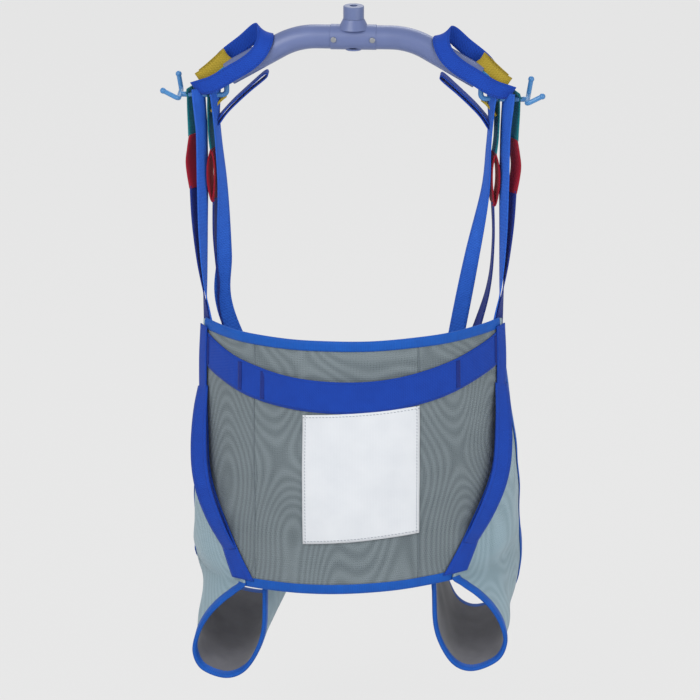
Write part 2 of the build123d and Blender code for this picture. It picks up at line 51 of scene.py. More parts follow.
def toLinear(hexColour):
    parts = [int(hexColour[i : i + 2], 16) / 255 for i in (1, 3, 5)]
    return [c / 12.92 if c <= 0.04045 else ((c + 0.055) / 1.055) ** 2.4 for c in parts] + [1.0]


def lerp(a, b, t):
    return a + (b - a) * t


def addNode(tree, kind, settings=None, links=None):
    # a node with its settings; links maps an input to a value or to another node's output
    made = tree.nodes.new(kind)
    for key, value in (settings or {}).items():
        setattr(made, key, value)
    for key, value in (links or {}).items():
        if isinstance(value, bpy.types.NodeSocket):
            tree.links.new(value, made.inputs[key])
        else:
            made.inputs[key].default_value = value
    return made


def newMaterial(name):
    made = bpy.data.materials.new(name)
    made.use_nodes = True
    made.node_tree.nodes.clear()
    return made, made.node_tree


def finishMaterial(tree, colour, roughness, height, depth, **flat):
    # colour and roughness are sockets or values; height is bumped by depth metres
    shader = addNode(tree, "ShaderNodeBsdfPrincipled", {}, {"Base Color": colour, "Roughness": roughness})
    for key, value in flat.items():
        shader.inputs[key.replace("_", " ")].default_value = value
    bump = addNode(tree, "ShaderNodeBump", {}, {"Height": height, "Distance": depth, "Strength": 1.0})
    tree.links.new(bump.outputs[0], shader.inputs["Normal"])
    out = addNode(tree, "ShaderNodeOutputMaterial")
    tree.links.new(shader.outputs[0], out.inputs["Surface"])


def mathNode(tree, operation, a, b=0.0):
    return addNode(tree, "ShaderNodeMath", {"operation": operation}, {0: a, 1: b}).outputs[0]


def mixColours(tree, factor, a, b):
    made = addNode(tree, "ShaderNodeMix", {"data_type": "RGBA"}, {0: factor})
    for socket, value in ((made.inputs[6], a), (made.inputs[7], b)):
        if isinstance(value, bpy.types.NodeSocket):
            tree.links.new(value, socket)
        else:
            socket.default_value = value
    return made.outputs[2]


def uvInMillimetres(tree):
    uv = addNode(tree, "ShaderNodeUVMap", {"uv_map": "weave"})
    split = addNode(tree, "ShaderNodeSeparateXYZ", {}, {0: uv.outputs[0]})
    across = mathNode(tree, "MULTIPLY", split.outputs[0], 1000.0)
    along = mathNode(tree, "MULTIPLY", split.outputs[1], 1000.0)
    return across, along


def ripple(tree, distance, pitch):
    # 0 to 1 and back once in every pitch
    turn = mathNode(tree, "MULTIPLY", distance, 2 * math.pi / pitch)
    wave = mathNode(tree, "SINE", turn)
    return mathNode(tree, "MULTIPLY_ADD", wave, 0.5)


def cloud(tree, vector, size, detail=3.0):
    # soft noise whose blobs are about size metres across
    return addNode(
        tree, "ShaderNodeTexNoise", {}, {"Vector": vector, "Scale": 1 / size, "Detail": detail}
    ).outputs["Fac"]


# materials

# polyester webbing, shuttle woven: matt ribs across, a slight sheen, rubbed paler on top
webbingLook = {
    "ribMm": 3.0,  # real ribs are about 1 mm apart; they are drawn wider so that they show
    "ribDepthMm": 0.35,
    "rubbedSize": 0.018,
    "weaveShare": 0.45,
    "rubbedShare": 0.55,
    "threadInMm": 3.0,
    "threadHalfMm": 0.6,
    "stitchMm": 4.0,
    "threadShare": 0.55,
    "roughness": 0.8,
    "sheen": 0.06,
}


def wovenWebbing(name, face, shade, width=25.0):
    made, tree = newMaterial(name)
    across, along = uvInMillimetres(tree)
    place = addNode(tree, "ShaderNodeTexCoord").outputs["Object"]
    ribs = ripple(tree, along, webbingLook["ribMm"])
    slant = mathNode(tree, "ADD", along, across)
    twill = ripple(tree, slant, webbingLook["ribMm"] * 1.5)
    weave = mathNode(tree, "MULTIPLY", mathNode(tree, "ADD", ribs, twill), 0.5)
    rubbed = cloud(tree, place, webbingLook["rubbedSize"])
    weaveTone = mathNode(tree, "MULTIPLY", weave, webbingLook["weaveShare"])
    rubbedTone = mathNode(tree, "MULTIPLY", rubbed, webbingLook["rubbedShare"])
    tone = mathNode(tree, "ADD", weaveTone, rubbedTone)
    colour = mixColours(tree, tone, toLinear(shade), toLinear(face))
    # a row of thread a little way in from each selvedge
    fromMiddle = mathNode(tree, "ABSOLUTE", across)
    fromRow = mathNode(tree, "SUBTRACT", fromMiddle, width / 2 - webbingLook["threadInMm"])
    line = mathNode(tree, "LESS_THAN", mathNode(tree, "ABSOLUTE", fromRow), webbingLook["threadHalfMm"])
    dash = mathNode(tree, "GREATER_THAN", ripple(tree, along, webbingLook["stitchMm"]), 0.3)
    thread = mathNode(tree, "MULTIPLY", line, dash)
    threadTone = mathNode(tree, "MULTIPLY", thread, webbingLook["threadShare"])
    colour = mixColours(tree, threadTone, colour, toLinear(shade))
    height = mathNode(tree, "SUBTRACT", weave, thread)
    finishMaterial(
        tree, colour, webbingLook["roughness"], height, webbingLook["ribDepthMm"] * mm,
        Sheen_Weight=webbingLook["sheen"], Sheen_Roughness=0.5, Specular_IOR_Level=0.25,
    )
    return made


# warp-knitted spacer mesh: two net faces with pile between. The faint rings that two such
# nets show together are drawn here as contour lines of soft noise
meshLook = {
    "cellMm": 4.2,
    "backCellMm": 4.55,
    "depthMm": 0.5,
    "ringMm": 3.6,
    "ringSize": 0.12,
    "ringReachMm": 75.0,
    "beatShare": 0.5,
    "ringShare": 0.32,
    "softShare": 0.35,
    "softSize": 0.09,
    "roughness": 0.9,
    "sheen": 0.25,
}


def knittedMesh(name, pale, deep):
    made, tree = newMaterial(name)
    across, along = uvInMillimetres(tree)
    place = addNode(tree, "ShaderNodeTexCoord").outputs["Object"]

    def holes(pitch, drift):
        bent = mathNode(tree, "ADD", across, drift)
        a = ripple(tree, bent, pitch)
        b = ripple(tree, along, pitch * 0.8)
        return mathNode(tree, "MULTIPLY", a, b)

    tall = addNode(
        tree, "ShaderNodeVectorMath", {"operation": "MULTIPLY"}, {0: place, 1: (1.0, 1.0, 0.6)}
    ).outputs[0]
    drift = mathNode(
        tree, "MULTIPLY", cloud(tree, tall, meshLook["ringSize"], 0.0), meshLook["ringReachMm"]
    )
    front = holes(meshLook["cellMm"], 0.0)
    back = holes(meshLook["backCellMm"], drift)
    beat = mathNode(tree, "MULTIPLY", front, back)
    rings = ripple(tree, drift, meshLook["ringMm"])
    soft = cloud(tree, place, meshLook["softSize"])
    beatTone = mathNode(tree, "MULTIPLY", beat, meshLook["beatShare"])
    ringTone = mathNode(tree, "MULTIPLY", rings, meshLook["ringShare"])
    softTone = mathNode(tree, "MULTIPLY", soft, meshLook["softShare"])
    tone = mathNode(tree, "ADD", mathNode(tree, "ADD", beatTone, ringTone), softTone)
    colour = mixColours(tree, tone, toLinear(pale), toLinear(deep))
    height = mathNode(tree, "SUBTRACT", 1.0, front)
    finishMaterial(
        tree, colour, meshLook["roughness"], height, meshLook["depthMm"] * mm,
        Sheen_Weight=meshLook["sheen"], Sheen_Roughness=0.35,
    )
    return made


def brushedLining(name, pale, deep):
    # brushed nylon lining: smooth, dull, soft blotches where the nap lies over
    made, tree = newMaterial(name)
    place = addNode(tree, "ShaderNodeTexCoord").outputs["Object"]
    nap = cloud(tree, place, 0.03)
    grain = cloud(tree, place, 0.0015, 1.0)
    colour = mixColours(tree, nap, toLinear(deep), toLinear(pale))
    finishMaterial(tree, colour, 0.9, grain, 0.2 * mm, Sheen_Weight=0.25)
    return made


tapeLook = {
    "ribMm": 2.6,
    "threadInMm": 2.5,
    "threadHalfMm": 0.5,
    "stitchMm": 4.5,
    "threadShare": 0.6,
    "ribShare": 0.3,
    "cloudShare": 0.7,
    "cloudSize": 0.02,
    "roughness": 0.62,
}


def foldedTape(name, face, shade):
    # folded polyester tape: fine ribs, brighter and smoother than the webbing
    made, tree = newMaterial(name)
    across, along = uvInMillimetres(tree)
    place = addNode(tree, "ShaderNodeTexCoord").outputs["Object"]
    ribs = ripple(tree, along, tapeLook["ribMm"])
    fromRow = mathNode(tree, "ABSOLUTE", mathNode(tree, "SUBTRACT", across, tapeLook["threadInMm"]))
    line = mathNode(tree, "LESS_THAN", fromRow, tapeLook["threadHalfMm"])
    dash = mathNode(tree, "GREATER_THAN", ripple(tree, along, tapeLook["stitchMm"]), 0.3)
    thread = mathNode(tree, "MULTIPLY", line, dash)
    ribTone = mathNode(tree, "MULTIPLY", ribs, tapeLook["ribShare"])
    cloudTone = mathNode(
        tree, "MULTIPLY", cloud(tree, place, tapeLook["cloudSize"]), tapeLook["cloudShare"]
    )
    colour = mixColours(tree, mathNode(tree, "ADD", ribTone, cloudTone), toLinear(shade), toLinear(face))
    threadTone = mathNode(tree, "MULTIPLY", thread, tapeLook["threadShare"])
    colour = mixColours(tree, threadTone, colour, toLinear(shade))
    height = mathNode(tree, "SUBTRACT", ribs, thread)
    finishMaterial(
        tree, colour, tapeLook["roughness"], height, 0.2 * mm, Sheen_Weight=0.05, Specular_IOR_Level=0.3
    )
    return made


labelLook = {
    "weaveMm": 2.2,
    "cloudSize": 0.04,
    "sideRowMm": 82.0,  # stitching, from the middle of the label across
    "middleMm": 100.0,
    "endRowMm": 96.0,  # and from its middle along
    "threadHalfMm": 0.6,
    "stitchMm": 5.0,
    "thread": "#9aa0ab",
    "roughness": 0.5,
}


def satinLabel(name, pale, deep):
    # coated satin label: nearly white, faint weave, soft blotches
    made, tree = newMaterial(name)
    across, along = uvInMillimetres(tree)
    place = addNode(tree, "ShaderNodeTexCoord").outputs["Object"]
    weave = ripple(tree, across, labelLook["weaveMm"])
    blotches = cloud(tree, place, labelLook["cloudSize"])
    colour = mixColours(tree, blotches, toLinear(deep), toLinear(pale))
    fromMiddle = mathNode(tree, "ABSOLUTE", across)
    sideRow = mathNode(tree, "ABSOLUTE", mathNode(tree, "SUBTRACT", fromMiddle, labelLook["sideRowMm"]))
    fromHalfway = mathNode(tree, "ABSOLUTE", mathNode(tree, "SUBTRACT", along, labelLook["middleMm"]))
    endRow = mathNode(tree, "ABSOLUTE", mathNode(tree, "SUBTRACT", fromHalfway, labelLook["endRowMm"]))
    rows = mathNode(tree, "MINIMUM", sideRow, endRow)
    stitches = ripple(tree, mathNode(tree, "ADD", along, across), labelLook["stitchMm"])
    dash = mathNode(tree, "GREATER_THAN", stitches, 0.35)
    line = mathNode(tree, "LESS_THAN", rows, labelLook["threadHalfMm"])
    thread = mathNode(tree, "MULTIPLY", line, dash)
    colour = mixColours(tree, thread, colour, toLinear(labelLook["thread"]))
    weave = mathNode(tree, "SUBTRACT", weave, mathNode(tree, "MULTIPLY", thread, 4.0))
    finishMaterial(tree, colour, labelLook["roughness"], weave, 0.05 * mm, Sheen_Weight=0.1)
    return made


def powderCoat(name, face, shade, roughness=0.42):
    # powder-coated tube: satin with a fine orange peel and slightly rubbed patches
    made, tree = newMaterial(name)
    place = addNode(tree, "ShaderNodeTexCoord").outputs["Object"]
    worn = cloud(tree, place, 0.035)
    peel = cloud(tree, place, 0.0016, 1.0)
    colour = mixColours(tree, worn, toLinear(shade), toLinear(face))
    rough = mathNode(tree, "MULTIPLY_ADD", worn, 0.14)
    rough.node.inputs[2].default_value = roughness - 0.07
    finishMaterial(tree, colour, rough, peel, 0.05 * mm, Coat_Weight=0.15, Coat_Roughness=0.3)
    return made


def zincSteel(name):
    # zinc-plated steel: grey metal, fine turned grain
    made, tree = newMaterial(name)
    place = addNode(tree, "ShaderNodeTexCoord").outputs["Object"]
    grain = cloud(tree, place, 0.0008, 2.0)
    rough = mathNode(tree, "MULTIPLY_ADD", grain, 0.2)
    rough.node.inputs[2].default_value = 0.28
    finishMaterial(tree, toLinear("#a6a9ad"), rough, grain, 0.01 * mm, Metallic=1.0)
    return made


looks = {
    "bar_paint": powderCoat("powder_coat_periwinkle", "#6876a4", "#5b6894"),
    "stem_paint": powderCoat("powder_coat_stem", "#66749e", "#586590"),
    "end_plastic": powderCoat("moulded_nylon_cyan", "#1d86bd", "#0c6aa8", 0.36),
    "hook_coating": powderCoat("dipped_coating_blue", "#4f8fc4", "#2f6bac", 0.3),
    "zinc_steel": zincSteel("zinc_plated_steel"),
    "webbing_blue": wovenWebbing("polyester_webbing_blue", "#1449b4", "#0b3492"),
    "webbing_navy": wovenWebbing("polyester_webbing_navy", "#1c3690", "#0e2068"),
    "webbing_green": wovenWebbing("polyester_webbing_green", "#14808a", "#0a5a62"),
    "webbing_red": wovenWebbing("polyester_webbing_red", "#a81530", "#7a0a1e"),
    "webbing_yellow": wovenWebbing("polyester_webbing_yellow", "#b8a03a", "#8c7818"),
    # a brighter copy of the blue webbing for the hanging shoulder and leg straps: painted light, making
    # up for the light these sideways-facing straps miss
    "painted_light_webbing": wovenWebbing("polyester_webbing_painted_light", "#2f6cd6", "#1d4fb2"),
    "wide_webbing": wovenWebbing("polyester_webbing_wide", "#1145b0", "#0a3490", 50.0),
    "binding_tape": foldedTape("folded_binding_tape", "#005cc0", "#00459a"),
    "spacer_mesh": knittedMesh("spacer_mesh_grey", "#7e898e", "#4b565c"),
    # paler spacer mesh for the side panels: its lighter colours are painted sheen, standing for the light
    # these wings catch at a grazing angle
    "side_mesh": knittedMesh("spacer_mesh_painted_sheen", "#9bb3be", "#748c97"),
    "lining_cloth": brushedLining("brushed_lining_charcoal", "#6a6a70", "#4a4a50"),
    "seam_thread": brushedLining("seam_thread_grey", "#69747b", "#5b666d"),
    "label_cloth": satinLabel("satin_label_white", "#e0e3e7", "#cfd3d9"),
}
print("materials made")


# making and placing


def toObject(name, bm, look, body, replaced=()):
    for face in bm.faces:
        face.smooth = True
    mesh = bpy.data.meshes.new(name)
    bm.to_mesh(mesh)
    bm.free()
    made = bpy.data.objects.new(name, mesh)
    bpy.context.scene.collection.objects.link(made)
    mesh.materials.append(looks[look])
    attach(made, body)
    if replaced:
        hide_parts(*replaced)
    return made


def gridOf(place, acrossCount, alongCount, size):
    # a grid whose vertices go to place(s, t); the weave UV is in metres, centred across
    bm = bmesh.new()
    bmesh.ops.create_grid(bm, x_segments=acrossCount, y_segments=alongCount, size=0.5)
    uv = bm.loops.layers.uv.new("weave")
    for face in bm.faces:
        for loop in face.loops:
            loop[uv].uv = (loop.vert.co.x * size[0], (loop.vert.co.y + 0.5) * size[1])
    for vert in bm.verts:
        vert.co = place(vert.co.x + 0.5, vert.co.y + 0.5)
    bm.normal_update()
    return bm


def thicken(made, thickness):
    solid = made.modifiers.new("thickness", "SOLIDIFY")
    solid.thickness = thickness
    solid.offset = 0.0
    solid.use_quality_normals = True


def along(points, t):
    # a smooth line through points, t from 0 to 1
    last = len(points) - 1
    place = min(max(t, 0.0), 1.0) * last
    i = min(int(place), last - 1)
    f = place - i
    p0, p1, p2, p3 = (points[min(max(i + k, 0), last)] for k in (-1, 0, 1, 2))
    return 0.5 * (
        2 * p1 + (p2 - p0) * f + (2 * p0 - 5 * p1 + 4 * p2 - p3) * f**2 + (
            3 * p1 - p0 - 3 * p2 + p3
        ) * f**3
    )


def lineLength(points, steps=60):
    spots = [along(points, k / steps) for k in range(steps + 1)]
    return sum((b - a).length for a, b in zip(spots, spots[1:]))


def webStrip(name, route, look, body, width=25.0, thick=1.6, replaced=(), steps=90):
    # route is a list of (point, across) in mm: the strip's middle and the way its width runs
    points = [Vector(p) * mm for p, a in route]
    ways = [Vector(a).normalized() for p, a in route]
    half = width * mm / 2
    length = lineLength(points)

    def place(s, t):
        middle = along(points, t)
        ahead = (along(points, t + 0.004) - along(points, t - 0.004)).normalized()
        way = along(ways, t)
        way = (way - ahead * way.dot(ahead)).normalized()
        return middle + way * half * (2 * s - 1)

    bm = gridOf(place, 6, steps, (width * mm, length))
    thicken(toObject(name, bm, look, body, replaced), thick * mm)


# the shell that the sling hangs in: an upright arc, open to the front
shell = {"radius": 250.0, "centreY": 82.0, "topZ": -475.0, "lowZ": -864.0}
seam = {"topX": 222.0, "lowX": 154.0, "taperZ": -720.0}
frontEdge = [(4.0, -475.0), (10.0, -560.0), (34.0, -650.0), (84.0, -760.0), (112.0, -864.0)]


def shellSpot(angle, z, out=0.0):
    r = shell["radius"] + out
    return Vector((r * math.sin(angle), shell["centreY"] - r * math.cos(angle), z))


def seamAngle(z):
    # straight at the top, then a soft turn inward
    below, full = (d + math.hypot(d, 45.0) for d in (seam["taperZ"] - z, seam["taperZ"] - shell["lowZ"]))
    return math.asin(lerp(seam["topX"], seam["lowX"], below / full) / shell["radius"])


def frontAngle(z):
    for (y0, z0), (y1, z1) in zip(frontEdge, frontEdge[1:]):
        if z >= z1 or (y1, z1) == frontEdge[-1]:
            y = lerp(y0, y1, min(max((z0 - z) / (z0 - z1), 0.0), 1.0))
            return math.acos((shell["centreY"] - y) / shell["radius"])


sag = {"top": 0.018, "low": 0.05}  # how far the sling hangs lower on the left, per mm across


def hung(spot):
    # mm to metres, with the left side hanging a little lower
    share = min(max((shell["topZ"] - spot.z) / (shell["topZ"] - shell["lowZ"]), 0.0), 1.0)
    return Vector((spot.x, spot.y, spot.z + spot.x * lerp(sag["top"], sag["low"], share))) * mm


def cloth(point, size, height):
    # gentle unevenness of hanging cloth, in mm
    return height * noise.noise(point / size)


def fullness(z):
    # the panel swells a little below the waist strap
    share = (shell["topZ"] - z) / (shell["topZ"] - shell["lowZ"])
    return 2.5 * math.sin(math.pi * share) - 1.5


def backSpot(angle, z, out=0.0):
    spot = shellSpot(angle, z)
    lift = fullness(z) + cloth(spot, 70.0, 2.2) + out
    return shellSpot(angle, z, lift)


# back panel

backPanel = {"acrossCount": 110, "alongCount": 84, "thick": 3.0, "weave": (0.53, 0.389)}


def placeBack(s, t):
    z = lerp(shell["lowZ"], shell["topZ"], t)
    angle = lerp(-seamAngle(z), seamAngle(z), s)
    return hung(backSpot(angle, z, -backPanel["thick"] / 2))


bm = gridOf(placeBack, backPanel["acrossCount"], backPanel["alongCount"], backPanel["weave"])
back = toObject("back_panel_mesh", bm, "spacer_mesh", "sling", ["back_panel"])
thicken(back, backPanel["thick"] * mm)
print("back panel made")

# side panels and leg wraps

# near rim of the leg wrap, from the back panel's corner out, round and up the inner side
nearRim = [
    (157, -117, -860), (172, -114, -873), (192, -111, -889), (213, -107, -913), (229, -102, -942),
    (235, -100, -970),
    (222, -102, -996), (186, -107, -1009), (156, -108, -998), (137, -109, -962), (129, -111, -918),
    (126, -114, -866),
]
farRim = [
    (246, 112, -866), (247, 112, -879), (248, 112, -893), (247, 111, -908), (243, 110, -928),
    (229, 110, -950),
    (206, 110, -964), (180, 110, -966), (157, 110, -950), (141, 108, -915), (124, 96, -862),
    (112, 72, -792),
]
bulges = [19, 13, 8, 3, 2, 2, 0, 0, 0, 2, 3, 4]  # how far each row stands out from the straight
turnIn = [0, 1, 4, 10, 18, 30, 42, 50, 54, 56, 54, 46]  # how far each row of the left leg leans in
farLift = {"left": 24.0, "right": -9.0}  # how far the far end of each leg section is raised
wallRows = [-475.0, -525.0, -580.0, -635.0, -690.0, -745.0, -795.0, -838.0]
sidePanel = {"acrossCount": 44, "alongCount": 150, "thick": 3.0, "weave": (0.2, 0.82)}


def legSpot(k, s, side):
    a = Vector(nearRim[k])
    b = Vector(farRim[k])
    spot = a.lerp(b, s)
    spread = math.sin(math.pi * s)
    spot.x += spread * bulges[k]
    spot.y -= spread * bulges[k] * 0.4
    spot.x -= s * turnIn[k] * (1.0 if side < 0 else 0.15)
    spot.z += s * farLift["left" if side < 0 else "right"] * min(k / 3, 1.0)
    if k >= 10:
        # the flap rises to the tip that the leg strap is sewn to
        peak = math.exp(-(((s - 0.74) / 0.3) ** 2))
        spot.z += peak * (26 if k == 11 else 10)
    return spot


def wingSpot(s, z):
    # the wing closes in a little toward its front edge, and its top front corner is rounded
    spot = shellSpot(lerp(seamAngle(z), frontAngle(z), s), z, fullness(z) * (1 - s))
    share = (shell["topZ"] - z) / (shell["topZ"] - shell["lowZ"])
    spot.x -= s * lerp(16, 3, share)
    spot.z -= 26 * s * s * max(0.0, 1 - share / 0.3)
    return spot


def sideSpot(s, t, side):
    rows = [wingSpot(s, z) for z in wallRows]
    rows += [legSpot(k, s, side) for k in range(len(nearRim))]
    spot = along(rows, t)
    return spot + Vector((cloth(spot, 60.0, 3.0), 0, cloth(spot + Vector((90, 0, 0)), 60.0, 1.5)))


def flipped(v, side):
    return Vector((v.x * side, v.y, v.z))


def mirrored(spot, side):
    return hung(flipped(spot, side))


def outward(s, t, side):
    # unit normal of the side panel's surface
    e = 0.004
    a = sideSpot(min(s + e, 1), t, side) - sideSpot(max(s - e, 0), t, side)
    b = sideSpot(s, min(t + e, 1), side) - sideSpot(s, max(t - e, 0), side)
    n = a.cross(b)
    return n.normalized() if n.length > 1e-9 else Vector((1, 0, 0))


rowCount = len(wallRows) + len(nearRim) - 1
legLining = {"inset": 2.6, "thick": 1.0, "margin": 0.02, "end": 0.992, "weave": (0.2, 0.5)}
legStart = 7.2 / rowCount  # where the leg wrap's lining starts
bothSides = (("right", 1), ("left", -1))


def makeSide(word, side):
    def placeWall(s, t):
        return mirrored(sideSpot(s if side > 0 else 1 - s, 1 - t, side), side)

    bm = gridOf(placeWall, sidePanel["acrossCount"], sidePanel["alongCount"], sidePanel["weave"])
    # the side panels take the paler mesh colours, which are painted sheen
    wall = toObject(f"{word}_side_mesh", bm, "side_mesh", "sling", [f"{word}_side_panel"])
    thicken(wall, sidePanel["thick"] * mm)

    def placeLining(s, t):
        u = lerp(legLining["margin"], 1 - legLining["margin"], s)
        v = lerp(legStart, legLining["end"], t)
        inner = outward(u, v, side) * -legLining["inset"]
        spot = sideSpot(u, v, side) + inner * liningSide
        return mirrored(spot, side)

    bm = gridOf(placeLining, 36, 80, legLining["weave"])
    if side < 0:
        bmesh.ops.reverse_faces(bm, faces=bm.faces[:])
    lining = toObject(f"{word}_leg_lining_cloth", bm, "lining_cloth", "sling", [f"{word}_leg_lining"])
    thicken(lining, legLining["thick"] * mm)


# 1 where that normal points away from the inside of the sling
liningSide = 1.0 if outward(0.5, 0.2, 1).x > 0 else -1.0
for word, side in bothSides:
    makeSide(word, side)
print("side panels made")


# bindings

tape = {"width": 13.5, "thick": 1.2, "sheet": 3.0}


def foldTape(name, edge, inward, face, count, replaced=()):
    # a tape folded over an edge: edge(t), the way into the cloth and the cloth's face at t
    wide = tape["width"]
    stand = tape["sheet"] / 2 + tape["thick"] * 0.75
    profile = [
        (wide, 1.0), (wide * 0.5, 1.12), (1.0, 1.0), (-tape["thick"], 0.0), (1.0, -1.0),
        (wide * 0.5, -1.12), (wide, -1.0)
    ]

    def place(s, t):
        spot = edge(t)
        into = inward(t).normalized()
        out = face(t)
        out = (out - into * out.dot(into)).normalized()
        k = s * (len(profile) - 1)
        depth, rise = (along([Vector((a, b, 0)) for a, b in profile], k / (len(profile) - 1)))[:2]
        return hung(spot + into * depth + out * stand * rise)

    length = sum((edge((k + 1) / 40) - edge(k / 40)).length for k in range(40)) * mm
    bm = gridOf(place, 12, count, (2 * wide * mm, length))
    thicken(toObject(name, bm, "binding_tape", "sling", replaced), tape["thick"] * mm)


topAngle = frontAngle(shell["topZ"])


def topEdge(t):
    angle = lerp(-topAngle, topAngle, t)
    edge = seamAngle(shell["topZ"])
    if abs(angle) <= edge:
        return backSpot(angle, shell["topZ"], -1.5)
    spot = wingSpot((abs(angle) - edge) / (topAngle - edge), shell["topZ"])
    return Vector((math.copysign(spot.x - 1.3, angle), spot.y, spot.z))


def radialOut(t, reach):
    angle = lerp(-reach, reach, t)
    return Vector((math.sin(angle), -math.cos(angle), 0))


lowAngle = math.asin(157.0 / shell["radius"])
foldTape(
    "top_edge_tape", topEdge, lambda t: Vector((0, 0, -1)), lambda t: radialOut(t, topAngle), 120,
    ["top_binding"]
)
foldTape(
    "bottom_edge_tape",
    lambda t: backSpot(lerp(-lowAngle, lowAngle, t), shell["lowZ"], -1.5),
    lambda t: Vector((0, 0, 1)),
    lambda t: radialOut(t, lowAngle),
    70,
    ["bottom_binding"],
)


def sideTape(name, side, s0, start, end, count, replaced):
    def spot(t):
        return sideSpot(s0, lerp(start, end, t), side)

    into = 1 if s0 < 0.5 else -1
    foldTape(
        name,
        lambda t: flipped(spot(t), side),
        lambda t: flipped(sideSpot(s0 + 0.03 * into, lerp(start, end, t), side) - spot(t), side),
        lambda t: flipped(outward(s0, lerp(start, end, t), side), side),
        count,
        replaced,
    )


for word, side in bothSides:
    sideTape(f"{word}_rear_leg_tape", side, 0.0, 8.0 / rowCount, 1.0, 110, [f"{word}_rear_leg_binding"])
    sideTape(f"{word}_front_leg_tape", side, 1.0, 7.4 / rowCount, 1.0, 110, [f"{word}_front_leg_binding"])
    sideTape(f"{word}_front_edge_tape", side, 1.0, 0.0, 7.4 / rowCount, 70, [f"{word}_front_binding"])

    def flapEdge(t, side=side):
        return flipped(sideSpot(t, 1.0, side), side)

    def flapInto(t, side=side):
        return flipped(sideSpot(t, 0.97, side) - sideSpot(t, 1.0, side), side)

    foldTape(f"{word}_flap_tape", flapEdge, flapInto, lambda t, side=side: Vector((-side, 0, 0)), 60)
print("bindings made")

# straps on the shell

backStrap = {
    "width": 50.0, "thick": 1.8, "endX": 219.0, "endZ": -516.0, "midZ": -559.0, "stand": 1.6, "loose": 5.0
}


def placeBackStrap(s, t):
    share = 2 * t - 1
    angle = share * math.asin(backStrap["endX"] / shell["radius"])
    middle = lerp(backStrap["endZ"], backStrap["midZ"], 1 - share * share)
    z = middle + (s - 0.5) * backStrap["width"]
    loose = backStrap["loose"] * max(0.0, 1 - (share / 0.55) ** 2) * s
    return hung(backSpot(angle, z, backStrap["stand"] + loose))


bm = gridOf(placeBackStrap, 10, 130, (0.05, 0.56))
waist = toObject("waist_strap", bm, "wide_webbing", "sling", ["back_strap"])
thicken(waist, backStrap["thick"] * mm)

tack = {"long": 7.0, "thick": 0.5}
for name, share in (
    ("left_inner", -0.66), ("left_outer", -0.5), ("right_inner", 0.66), ("left_end", -0.965),
    ("right_end", 0.965)
):

    def placeTack(s, t, share=share):
        middle = lerp(backStrap["endZ"], backStrap["midZ"], 1 - share * share)
        middleAngle = share * math.asin(backStrap["endX"] / shell["radius"])
        angle = middleAngle + (s - 0.5) * tack["long"] / shell["radius"]
        z = middle + (t - 0.5) * (backStrap["width"] - 8)
        return hung(backSpot(angle, z, backStrap["stand"] + 1.5))

    bm = gridOf(placeTack, 4, 12, (tack["long"] * mm, 0.042))
    thicken(
        toObject(f"waist_tack_{name}", bm, "webbing_navy", "sling"),
        tack["thick"] * mm
    )

sideStrap = {"topHalf": 12.0, "lowHalf": 21.0, "stand": 3.6, "thick": 1.8}


def makeSideStrap(word, side):
    def place(s, t):
        z = lerp(shell["topZ"] - 9, shell["lowZ"] + 10, t)
        half = lerp(sideStrap["topHalf"], sideStrap["lowHalf"], max(0.0, (t - 0.6) / 0.4))
        angle = seamAngle(z) + (2 * s - 1) * half / shell["radius"]
        return mirrored(backSpot(angle, z, sideStrap["stand"]), side)

    bm = gridOf(place, 8, 110, (0.04, 0.4))
    if side > 0:
        bmesh.ops.reverse_faces(bm, faces=bm.faces[:])
    made = toObject(f"{word}_seam_strap", bm, "webbing_blue", "sling", [f"{word}_side_strap"])
    thicken(made, sideStrap["thick"] * mm)


handle = {"topZ": -576.0, "lowZ": -812.0, "out": 9.0, "back": 20.0, "width": 30.0}


def makeHandle(word, side):
    route = []
    for k in range(9):
        t = k / 8
        z = lerp(handle["topZ"], handle["lowZ"], t)
        angle = seamAngle(z)
        bow = math.sin(math.pi * t) ** 0.8
        spot = shellSpot(angle, z, 4.5 + handle["out"] * bow)
        spot.y -= handle["back"] * bow
        way = Vector((math.cos(angle), math.sin(angle), 0))
        # the loop turns to face backward as it leaves the strap
        way = way.lerp(Vector((0.95, 0.3, 0)), 0.6 * bow)
        spot = mirrored(spot, side) / mm
        route.append((tuple(spot), (way.x * side, way.y, way.z)))
    webStrip(
        f"{word}_grab_handle", route, "webbing_blue", "sling", handle["width"], 1.8, [f"{word}_handle"]
    )


for word, side in bothSides:
    makeSideStrap(word, side)
    makeHandle(word, side)

panelSeams = {"leftX": -141.0, "rightX": 106.0, "width": 2.2}


def makePanelSeam(name, x):
    angle = math.asin(x / shell["radius"])
    half = panelSeams["width"] / 2 / shell["radius"]

    def place(s, t):
        z = lerp(shell["lowZ"] + 14, shell["topZ"] - 12, t)
        return hung(backSpot(angle + (2 * s - 1) * half, z, 0.5))

    thicken(toObject(name, gridOf(place, 2, 90, (0.002, 0.36)), "seam_thread", "sling"), 0.6 * mm)


makePanelSeam("left_panel_seam", panelSeams["leftX"])
makePanelSeam("right_panel_seam", panelSeams["rightX"])

label = {
    "width": 172.0, "centreX": 20.0, "topZ": -583.0, "lowZ": -783.0, "stand": 2.4, "buckle": 0.8,
    "tilt": 9, "thick": 0.5
}


def placeLabel(s, t):
    z = lerp(label["lowZ"], label["topZ"], t)
    x = label["centreX"] + (s - 0.5) * label["width"]
    angle = math.asin(x / shell["radius"])
    buckle = label["buckle"] * math.sin(9 * s + 3 * t) * math.sin(math.pi * s) * math.sin(math.pi * t)
    return hung(backSpot(angle, z, label["stand"] + buckle) + Vector((0, 0, label["tilt"] * (s - 0.5))))


bm = gridOf(placeLabel, 40, 40, (0.172, 0.2))
care = toObject("blank_care_label", bm, "label_cloth", "sling", ["care_label"])
thicken(care, label["thick"] * mm)
print("straps and label made")

# lifting straps



